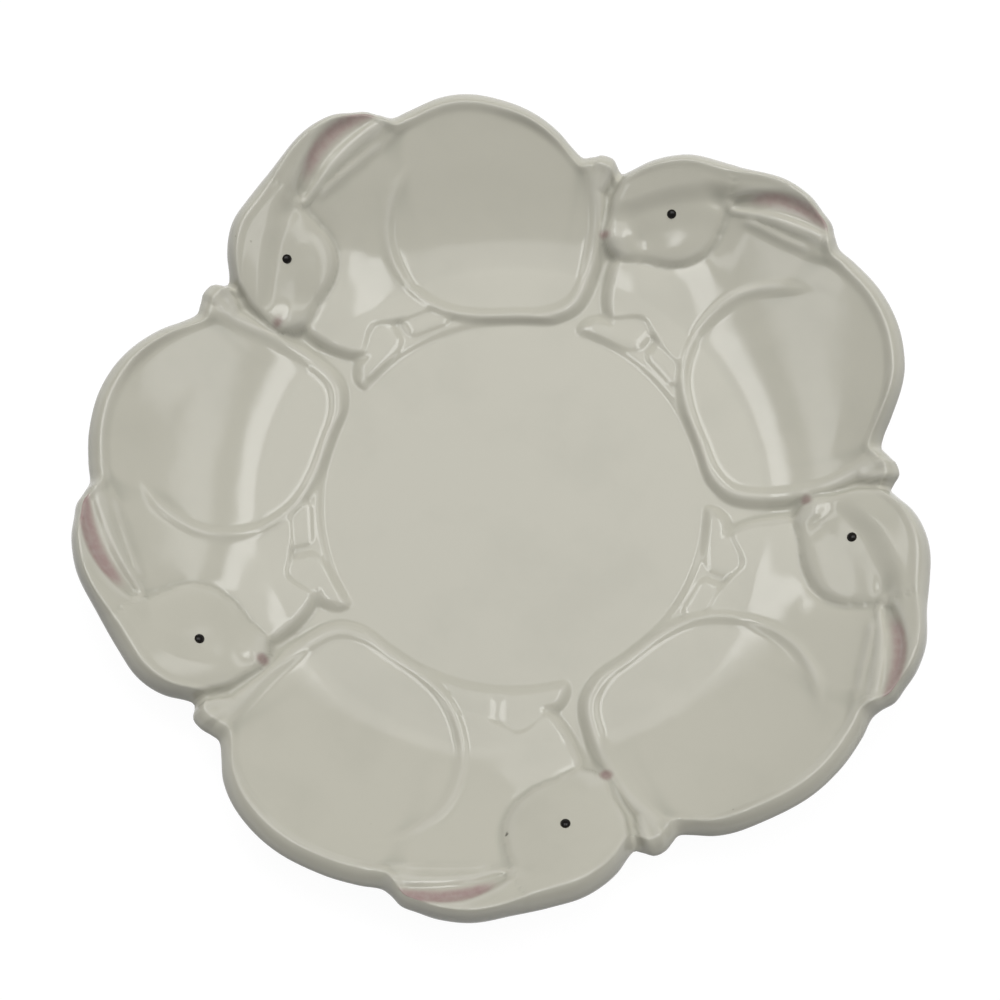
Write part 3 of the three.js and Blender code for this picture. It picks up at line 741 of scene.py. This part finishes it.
# Darker in the hollows and paler on the ridges: glaze pooling and thinning, with painted shade and painted
# highlight
pooled_and_shaded = remap(glaze_group, glaze_in["Pool And Shading"], *POOLED_AND_SHADED, 0, 1)
thinned_and_lit = remap(glaze_group, glaze_in["Pool And Shading"], *THINNED_AND_LIT, 1, 0)
glaze_tint = mix_colour(glaze_group, pooled_and_shaded, glaze_in["Colour"], glaze_in["Pooled And Shaded Colour"])
glaze_tint = mix_colour(glaze_group, thinned_and_lit, glaze_tint, glaze_in["Thin And Lit Colour"])
mottling = noise(glaze_group, glaze_place, MOTTLING_SCALE, 4)
mottling = remap(glaze_group, mottling, *MOTTLED, 0, MOTTLING_SHARE)
glaze_tint = mix_colour(glaze_group, mottling, glaze_tint, glaze_in["Pooled And Shaded Colour"])
cells = add_node(glaze_group, "ShaderNodeTexVoronoi")
cells.inputs["Scale"].default_value = PIT_SCALE
glaze_group.links.new(glaze_place, cells.inputs["Vector"])
pits = remap(glaze_group, cells.outputs["Distance"], *PIT_EDGE, 1, 0)
pitted = remap(glaze_group, noise(glaze_group, glaze_place, PITTED_SCALE, 0), *PITTED, 0, 1)
pinholes = calculate(glaze_group, "MULTIPLY", pits, pitted)
pit_shade = calculate(glaze_group, "MULTIPLY", pinholes, PIT_SHADE)
glaze_tint = mix_colour(glaze_group, pit_shade, glaze_tint, PIT_BROWN)
ripple = noise(glaze_group, glaze_place, RIPPLE_SCALE, 1)
pit_depth = calculate(glaze_group, "MULTIPLY", pinholes, PIT_DEPTH)
ripple = calculate(glaze_group, "SUBTRACT", ripple, pit_depth)
glaze_out = add_node(glaze_group, "NodeGroupOutput").inputs
glaze_group.links.new(glaze_tint, glaze_out["Colour"])
glaze_group.links.new(ripple, glaze_out["Height"])


def fired_glaze(name, colour, pooled_and_shaded_colour, thin_and_lit_colour, gloss):
    material = bpy.data.materials.new(name)
    material.use_nodes = True
    tree = material.node_tree
    shader = tree.nodes["Principled BSDF"]
    shader.inputs["Roughness"].default_value = gloss
    character = add_node(tree, "ShaderNodeGroup", node_tree=glaze_group)
    tints = {"Colour": colour, "Pooled And Shaded Colour": pooled_and_shaded_colour, "Thin And Lit Colour": thin_and_lit_colour}
    for socket_name, tint in tints.items():
        character.inputs[socket_name].default_value = (*tint, 1)
    # The mask of pooled glaze with painted shade in hollows, and thin glaze with painted highlight on
    # ridges
    pool_and_shading_depth = add_node(tree, "ShaderNodeAttribute", attribute_name="pool_and_shading")
    tree.links.new(pool_and_shading_depth.outputs["Fac"], character.inputs["Pool And Shading"])
    tree.links.new(character.outputs["Colour"], shader.inputs["Base Color"])
    bump_node = add_node(tree, "ShaderNodeBump")
    bump_node.inputs["Strength"].default_value = RIPPLE_STRENGTH
    bump_node.inputs["Distance"].default_value = RIPPLE_DEPTH * MM
    tree.links.new(character.outputs["Height"], bump_node.inputs["Height"])
    tree.links.new(bump_node.outputs["Normal"], shader.inputs["Normal"])
    return material


# The ivory, its darker tone in hollows (pooled glaze and painted shade) and its paler tone on ridges (thin
# glaze and painted highlight)
IVORY = (0.5, 0.487, 0.415)
IVORY_POOLED_AND_SHADED = (0.44, 0.43, 0.365)
IVORY_THIN_AND_LIT = (0.53, 0.517, 0.45)
IVORY_GLOSS = 0.06
ivory_glaze = fired_glaze("ivory_glaze", IVORY, IVORY_POOLED_AND_SHADED, IVORY_THIN_AND_LIT, IVORY_GLOSS)

# The speck of iron has burnt through the glaze
BURNT_BROWN = (0.06, 0.055, 0.045, 1)
BURNT = (0.3, 0.8)
BURNT_SHARE = 0.8
ivory_tree = ivory_glaze.node_tree
ivory_shader = ivory_tree.nodes["Principled BSDF"]
clear_ivory = ivory_shader.inputs["Base Color"].links[0].from_socket
burnt = add_node(ivory_tree, "ShaderNodeAttribute", attribute_name="speck").outputs["Fac"]
burnt = remap(ivory_tree, burnt, *BURNT, 0, BURNT_SHARE)
specked_ivory = mix_colour(ivory_tree, burnt, clear_ivory, BURNT_BROWN)
ivory_tree.links.new(specked_ivory, ivory_shader.inputs["Base Color"])

# A copy of the casting is kept for the painted skins that are lifted from it
painted = bm.copy()
rabbit_nodes = [f"rabbit_{n + 1}" for n in range(RABBITS)]
add_piece("plate_body", bm, ivory_glaze, "glaze", "centre_floor", *rabbit_nodes)


# Ear linings: a wash of dusty pink under the glaze, brushed into the leaf-shaped hollow of each
# ear. It is strongest along the outer wall and fades to ivory at both ends. Each is a skin of
# the glaze's own faces, lifted by a hair and closed underneath.
SKIN_LIFT = 0.03
SKIN_THICKNESS = 0.2


def lift_skin(place, n):
    skin = painted.copy()
    inside = skin.verts.layers.float[place]
    rabbit_layer = skin.verts.layers.float["rabbit"]
    bare = []
    for face in skin.faces:
        held = [vert for vert in face.verts if vert[inside] > 0 and round(vert[rabbit_layer]) == n]
        if not held:
            bare.append(face)
    bmesh.ops.delete(skin, geom=bare, context="FACES")
    for vert in skin.verts:
        vert.co += vert.normal * SKIN_LIFT * MM
    rim = [edge for edge in skin.edges if edge.is_boundary]
    bmesh.ops.solidify(skin, geom=skin.faces[:], thickness=SKIN_THICKNESS * MM)
    for edge in rim:
        edge.smooth = False
    return skin


# The wash's strength is an attribute that lays the pink over the ivory, in a brush's fine streaks
STREAK_SCALE = 420
STREAKS = (0.25, 0.75)
THINNEST_STREAK = 0.75


def brush_over(material, colour, start, full):
    tree = material.node_tree
    shader = tree.nodes["Principled BSDF"]
    ivory = shader.inputs["Base Color"].links[0].from_socket
    strength = add_node(tree, "ShaderNodeAttribute", attribute_name="wash").outputs["Fac"]
    strength = remap(tree, strength, start, full, 0, 1)
    place = add_node(tree, "ShaderNodeTexCoord").outputs["Object"]
    streaks = remap(tree, noise(tree, place, STREAK_SCALE, 3), *STREAKS, THINNEST_STREAK, 1)
    strength = calculate(tree, "MULTIPLY", strength, streaks)
    tree.links.new(mix_colour(tree, strength, ivory, (*colour, 1)), shader.inputs["Base Color"])


ROSE = (0.34, 0.245, 0.232)
rose_wash = fired_glaze("rose_wash", IVORY, IVORY_POOLED_AND_SHADED, IVORY_THIN_AND_LIT, IVORY_GLOSS)
brush_over(rose_wash, ROSE, start=0, full=1)

# The skins are lifted from the painted faces alone
bare = []
for face in painted.faces:
    spots = painted.verts.layers.float
    if all(max(vert[spots["in_lining"]], vert[spots["in_nose"]]) <= 0 for vert in face.verts):
        bare.append(face)
bmesh.ops.delete(painted, geom=bare, context="FACES")
for n in range(RABBITS):
    skin = lift_skin("in_lining", n)
    add_piece(f"ear_lining_{n + 1}", skin, rose_wash, "pink_enamel", f"rabbit_{n + 1}_ear_lining")


# Noses: one dab of pink on each muzzle, put on with the tip of a brush under the glaze, so its
# edge is soft.
NOSE_PINK = (0.3, 0.225, 0.205)
nose_dab = fired_glaze("nose_dab", IVORY, IVORY_POOLED_AND_SHADED, IVORY_THIN_AND_LIT, IVORY_GLOSS)
brush_over(nose_dab, NOSE_PINK, start=0.05, full=0.7)
for n in range(RABBITS):
    skin = lift_skin("in_nose", n)
    add_piece(f"nose_{n + 1}", skin, nose_dab, "pink_enamel", f"rabbit_{n + 1}_nose")


# Eyes: a drop of black enamel on each cheek, fired on top of the glaze, so that it stands up as a
# small dome with a glossy skin and a thin brownish edge.
ENAMEL_BLACK = (0.011, 0.01, 0.009)
ENAMEL_THICK = (0.008, 0.007, 0.006)
ENAMEL_EDGE = (0.035, 0.027, 0.02)
ENAMEL_GLOSS = 0.07
ENAMEL_MIRRORING = 0.3
black_enamel = fired_glaze("black_enamel", ENAMEL_BLACK, ENAMEL_THICK, ENAMEL_EDGE, ENAMEL_GLOSS)
enamel_shader = black_enamel.node_tree.nodes["Principled BSDF"]
enamel_shader.inputs["Specular IOR Level"].default_value = ENAMEL_MIRRORING
EYE_RADIUS = 1.65
EYE_HEIGHT = 1
EYE_SINK = 0.1
EYE_ROOT = -0.5
EYE_ROOT_SHARE = 0.9
EYE_THIN_FROM = 0.8
EYE_THINNING = 0.6
EYE_RINGS = 9
EYE_STEPS = 28
for n in range(RABBITS):
    low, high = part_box(f"rabbit_{n + 1}_eye")
    above = (low + high) / 2 + Vector((0, 0, 1))
    point, normal, _, _ = glazed_surface.ray_cast(above, (0, 0, -1))
    bm = bmesh.new()
    line = []
    for step in range(EYE_RINGS + 1):
        tilt = math.pi / 2 * step / EYE_RINGS
        line.append(bm.verts.new((EYE_RADIUS * math.sin(tilt), 0, EYE_HEIGHT * math.cos(tilt) - EYE_SINK)))
    line.append(bm.verts.new((EYE_ROOT_SHARE * EYE_RADIUS, 0, EYE_ROOT)))
    line.append(bm.verts.new((0, 0, EYE_ROOT)))
    edges = [bm.edges.new(pair) for pair in zip(line, line[1:])]
    bmesh.ops.spin(
        bm, geom=line + edges, axis=(0, 0, 1), angle=2 * math.pi, steps=EYE_STEPS, use_merge=True
    )
    bmesh.ops.remove_doubles(bm, verts=bm.verts, dist=0.001)
    pool_layer = bm.verts.layers.float.new("pool_and_shading")
    for vert in bm.verts:
        thin_share = (vert.co.xy.length / EYE_RADIUS - EYE_THIN_FROM) / (1 - EYE_THIN_FROM)
        vert[pool_layer] = -EYE_THINNING * max(0, thin_share)
    bmesh.ops.recalc_face_normals(bm, faces=bm.faces)
    facing = normal.to_track_quat("Z", "Y").to_matrix().to_4x4()
    seat = Matrix.Translation(point) @ facing @ Matrix.Scale(MM, 4)
    bmesh.ops.transform(bm, matrix=seat, verts=bm.verts)
    shade_smooth(bm)
    add_piece(f"eye_{n + 1}", bm, black_enamel, "black_enamel", f"rabbit_{n + 1}_eye")


# Foot ring: a low ring turned on the underside, wiped clean of glaze so that the plate doesn't
# stick in the kiln. The bare clay is matt, sandy and a little rubbed where it stands.
FOOT_OUTER = 58
FOOT_INNER = 52
FOOT_SPREAD = 0.8
FOOT_ROOT = 3.6
FOOT_ROUNDING = 1.1
FOOT_STEPS = 160
bm = bmesh.new()
corners = [
    (FOOT_INNER - FOOT_SPREAD, FOOT_ROOT), (FOOT_INNER, 0),
    (FOOT_OUTER, 0), (FOOT_OUTER + FOOT_SPREAD, FOOT_ROOT),
]
line = [bm.verts.new((radius * MM, 0, z * MM)) for radius, z in corners]
edges = [bm.edges.new((line[i], line[(i + 1) % len(line)])) for i in range(len(line))]
bmesh.ops.spin(bm, geom=line + edges, axis=(0, 0, 1), angle=2 * math.pi, steps=FOOT_STEPS, use_merge=True)
bmesh.ops.remove_doubles(bm, verts=bm.verts, dist=0.01 * MM)
bmesh.ops.recalc_face_normals(bm, faces=bm.faces)


# An edge that runs round the ring where it stands
def stands_round(edge):
    first, second = edge.verts
    standing = max(first.co.z, second.co.z) < 0.01 * MM
    return standing and abs(first.co.length - second.co.length) < 0.1 * MM


round_the_foot = [edge for edge in bm.edges if stands_round(edge)]
bmesh.ops.bevel(
    bm, geom=round_the_foot, affect="EDGES", offset=FOOT_ROUNDING * MM, segments=5, profile=0.5, material=-1
)
bmesh.ops.translate(bm, vec=(plate_axis.x, plate_axis.y, 0), verts=bm.verts)
shade_smooth(bm)

# Bare clay: fine grain, and patches that are rubbed grey
CLAY = (0.5, 0.44, 0.35, 1)
PALE_CLAY = (0.62, 0.57, 0.48, 1)
RUBBED_CLAY = (0.36, 0.33, 0.28, 1)
CLAY_ROUGHNESS = 0.85
GRAIN_SCALE = 1400
GRAIN_STRENGTH = 0.35
GRAIN_DEPTH = 0.3
RUBBED_SCALE = 130
RUBBED = (0.5, 0.72)
RUBBED_SHARE = 0.6
bare_clay = bpy.data.materials.new("bare_clay")
bare_clay.use_nodes = True
clay_tree = bare_clay.node_tree
clay_shader = clay_tree.nodes["Principled BSDF"]
clay_shader.inputs["Roughness"].default_value = CLAY_ROUGHNESS
clay_place = add_node(clay_tree, "ShaderNodeTexCoord").outputs["Object"]
grain = noise(clay_tree, clay_place, GRAIN_SCALE, 3)
clay_tint = mix_colour(clay_tree, grain, CLAY, PALE_CLAY)
rubbed = noise(clay_tree, clay_place, RUBBED_SCALE, 4)
rubbed = remap(clay_tree, rubbed, *RUBBED, 0, RUBBED_SHARE)
clay_tint = mix_colour(clay_tree, rubbed, clay_tint, RUBBED_CLAY)
clay_tree.links.new(clay_tint, clay_shader.inputs["Base Color"])
clay_bump = add_node(clay_tree, "ShaderNodeBump")
clay_bump.inputs["Strength"].default_value = GRAIN_STRENGTH
clay_bump.inputs["Distance"].default_value = GRAIN_DEPTH * MM
clay_tree.links.new(grain, clay_bump.inputs["Height"])
clay_tree.links.new(clay_bump.outputs["Normal"], clay_shader.inputs["Normal"])
add_piece("foot", bm, bare_clay, "biscuit", "foot_ring")


# Studio: a white paper floor, two soft lamps that only light, and the bright overhead boxes that
# the glaze mirrors. Places are given as seen from the front: x right, y away, z up.
FRONT_TURN = math.radians(39)
FLOOR_REACH = 12
FLOOR_DROP = 0.0004
bm = bmesh.new()
bmesh.ops.create_grid(bm, x_segments=1, y_segments=1, size=FLOOR_REACH)
bmesh.ops.translate(bm, vec=(0, 0, -FLOOR_DROP), verts=bm.verts)
floor_mesh = bpy.data.meshes.new("studio_floor")
bm.to_mesh(floor_mesh)
bm.free()
studio_floor = bpy.data.objects.new("studio_floor", floor_mesh)
bpy.context.scene.collection.objects.link(studio_floor)


# The rays that should see a white backdrop: from the camera, and mirrored or through glass
def backdrop_rays(tree):
    rays = add_node(tree, "ShaderNodeLightPath").outputs
    mirrored = calculate(tree, "MAXIMUM", rays["Is Glossy Ray"], rays["Is Transmission Ray"])
    return rays["Is Camera Ray"], mirrored


PAPER_GREY = (0.3, 0.3, 0.3, 1)
PAPER_GLOW = 1.28
PAPER_GLOW_SHARE = 0.75
paper = bpy.data.materials.new("white_paper")
paper.use_nodes = True
floor_mesh.materials.append(paper)
paper_tree = paper.node_tree
paper_shader = paper_tree.nodes["Principled BSDF"]
paper_shader.inputs["Base Color"].default_value = PAPER_GREY
paper_shader.inputs["Roughness"].default_value = 0.9
paper_glow = add_node(paper_tree, "ShaderNodeEmission")
paper_glow.inputs["Strength"].default_value = PAPER_GLOW
paper_mix = add_node(paper_tree, "ShaderNodeMixShader")
seen, mirrored = backdrop_rays(paper_tree)
glow_share = calculate(paper_tree, "MAXIMUM", seen, mirrored)
glow_share = calculate(paper_tree, "MULTIPLY", glow_share, PAPER_GLOW_SHARE)
paper_tree.links.new(glow_share, paper_mix.inputs["Fac"])
paper_tree.links.new(paper_shader.outputs["BSDF"], paper_mix.inputs[1])
paper_tree.links.new(paper_glow.outputs["Emission"], paper_mix.inputs[2])
paper_tree.links.new(paper_mix.outputs["Shader"], paper_tree.nodes["Material Output"].inputs["Surface"])


# A soft square lamp that points at the plate and isn't mirrored in the glaze
def hang_lamp(name, place, size, watts):
    lamp_data = bpy.data.lights.new(name, "AREA")
    lamp_data.size = size
    lamp_data.energy = watts
    lamp = bpy.data.objects.new(name, lamp_data)
    bpy.context.scene.collection.objects.link(lamp)
    stand = Matrix.Rotation(FRONT_TURN, 3, "Z") @ Vector(place)
    lamp.matrix_world = Matrix.Translation(stand) @ stand.to_track_quat("Z", "Y").to_matrix().to_4x4()
    lamp.visible_glossy = False


hang_lamp("back_lamp", place=(0, 0.9, 1.56), size=1, watts=15)
hang_lamp("right_lamp", place=(0.9, 0, 1.56), size=1, watts=7)

# The sky: directions turned to the front, with the boxes' places as sines to the side and away
world = bpy.data.worlds.new("studio")
bpy.context.scene.world = world
world.use_nodes = True
sky = world.node_tree
turned = add_node(sky, "ShaderNodeVectorRotate", rotation_type="Z_AXIS")
turned.inputs["Angle"].default_value = -FRONT_TURN
sky.links.new(add_node(sky, "ShaderNodeTexCoord").outputs["Generated"], turned.inputs["Vector"])
axes = add_node(sky, "ShaderNodeSeparateXYZ")
sky.links.new(turned.outputs["Vector"], axes.inputs["Vector"])
side = calculate(sky, "ABSOLUTE", axes.outputs["X"], 0)
away = axes.outputs["Y"]


# A light box with soft edges, as far as it reaches to the sides and away. It ends above the horizon.
BOX_HORIZON = (0.1, 0.3)


def light_box(level, nearest, farthest, front, back, soft=0.03):
    box = remap(sky, side, farthest - soft, farthest + soft, level, 0)
    if nearest > 0:
        box = calculate(sky, "MULTIPLY", box, remap(sky, side, nearest - soft, nearest + soft, 0, 1))
    box = calculate(sky, "MULTIPLY", box, remap(sky, away, front - soft, front + soft, 0, 1))
    box = calculate(sky, "MULTIPLY", box, remap(sky, away, back - soft, back + soft, 1, 0))
    return calculate(sky, "MULTIPLY", box, remap(sky, axes.outputs["Z"], *BOX_HORIZON, 0, 1))


AMBIENT = 0.1
WHITE_HORIZON = (0.05, 0.3)
wide_box = light_box(level=1.4, nearest=0, farthest=0.3, front=-0.05, back=0.5)
bright_boxes = light_box(level=2.9, nearest=0.15, farthest=0.29, front=-0.05, back=0.45)
side_boxes = light_box(level=1.8, nearest=0.4, farthest=0.5, front=-0.2, back=0.5)
boxes = calculate(sky, "ADD", wide_box, bright_boxes)
boxes = calculate(sky, "ADD", boxes, side_boxes)
boxes = calculate(sky, "ADD", boxes, AMBIENT)
seen, mirrored = backdrop_rays(sky)
low = remap(sky, axes.outputs["Z"], *WHITE_HORIZON, 1, 0)
white_share = calculate(sky, "MAXIMUM", seen, calculate(sky, "MULTIPLY", mirrored, low))
lit = calculate(sky, "MULTIPLY", boxes, calculate(sky, "SUBTRACT", 1, white_share))
sky.links.new(calculate(sky, "ADD", lit, white_share), sky.nodes["Background"].inputs["Strength"])
sky.nodes["Background"].inputs["Color"].default_value = (1, 1, 1, 1)

# The camera stands over the front of the plate, a little to one side, and looks down at it
CAMERA_FROM_AXIS = (0.12537, -0.15719, 0.64906)
CAMERA_TURNS = (17.437, 0.541, 38.094)
camera_data = bpy.data.cameras.new("camera")
camera_data.lens = 72
camera_data.sensor_width = 36
camera = bpy.data.objects.new("camera", camera_data)
bpy.context.scene.collection.objects.link(camera)
camera.location = Vector((plate_axis.x, plate_axis.y, 0)) + Vector(CAMERA_FROM_AXIS)
camera.rotation_euler = [math.radians(turn) for turn in CAMERA_TURNS]
bpy.context.scene.camera = camera
bpy.context.scene.view_settings.view_transform = "Standard"
